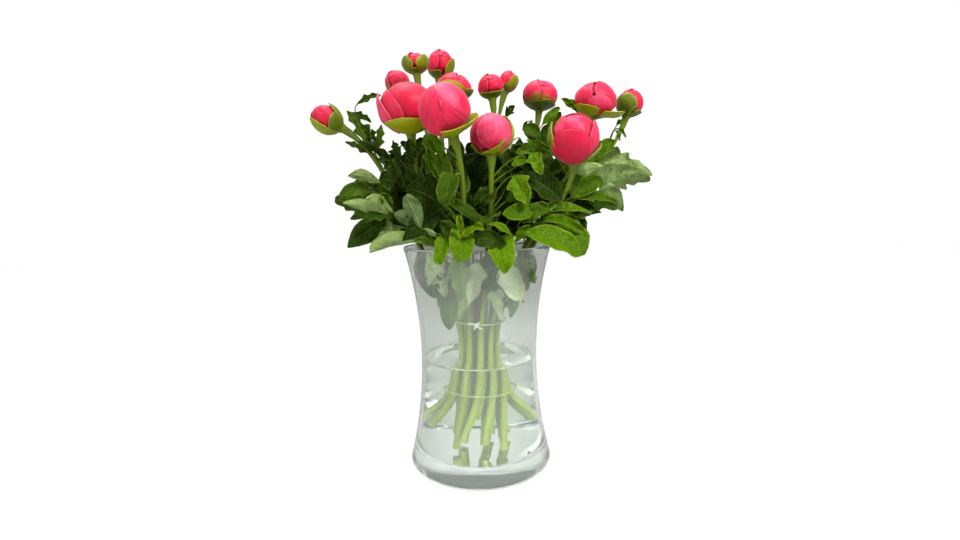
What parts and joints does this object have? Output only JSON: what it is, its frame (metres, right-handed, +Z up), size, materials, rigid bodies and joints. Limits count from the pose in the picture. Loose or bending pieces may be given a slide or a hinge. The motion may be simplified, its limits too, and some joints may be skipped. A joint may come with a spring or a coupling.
{
  "type": "peonies in a vase",
  "caption": "Bunch of pink peony buds with lobed green leaves, tied and standing in a waisted clear glass vase part filled with water.",
  "frame": {"origin": "centre of the vase's foot, on the surface that it stands on", "axes": "+Z up the vase, the side that the picture shows faces -Y, +X to its right"},
  "size_m": [0.3745, 0.2408, 0.472],
  "materials": {
    "glass": "clear polished glass",
    "water": "clear still water",
    "band": "pale matt elastic",
    "leaf": "half-gloss green leaves, lighter stems and sepals",
    "petal": "satin coral pink petals"
  },
  "bodies": {
    "root": {"vase": "glass", "water": "water", "tie_upper": "band", "tie_lower": "band", "leafy_stem_left_low": "leaf", "bud_left_low": "petal", "leafy_stem_left_big": "leaf", "bud_left_big": "petal", "leafy_stem_centre_big": "leaf", "bud_centre_big": "petal", "leafy_stem_middle": "leaf", "bud_middle": "petal", "leafy_stem_right_open": "leaf", "bud_right_open": "petal", "leafy_stem_top_green": "leaf", "bud_top_green": "petal", "leafy_stem_top_back": "leaf", "bud_top_back": "petal", "leafy_stem_left_behind": "leaf", "bud_left_behind": "petal", "leafy_stem_behind_centre": "leaf", "bud_behind_centre": "petal", "leafy_stem_small_mid": "leaf", "bud_small_mid": "petal", "leafy_stem_small_back": "leaf", "bud_small_back": "petal", "leafy_stem_right_mid": "leaf", "bud_right_mid": "petal", "leafy_stem_right_back": "leaf", "bud_right_back": "petal", "leafy_stem_far_right": "leaf", "bud_far_right": "petal"}
  },
  "joints": []
}
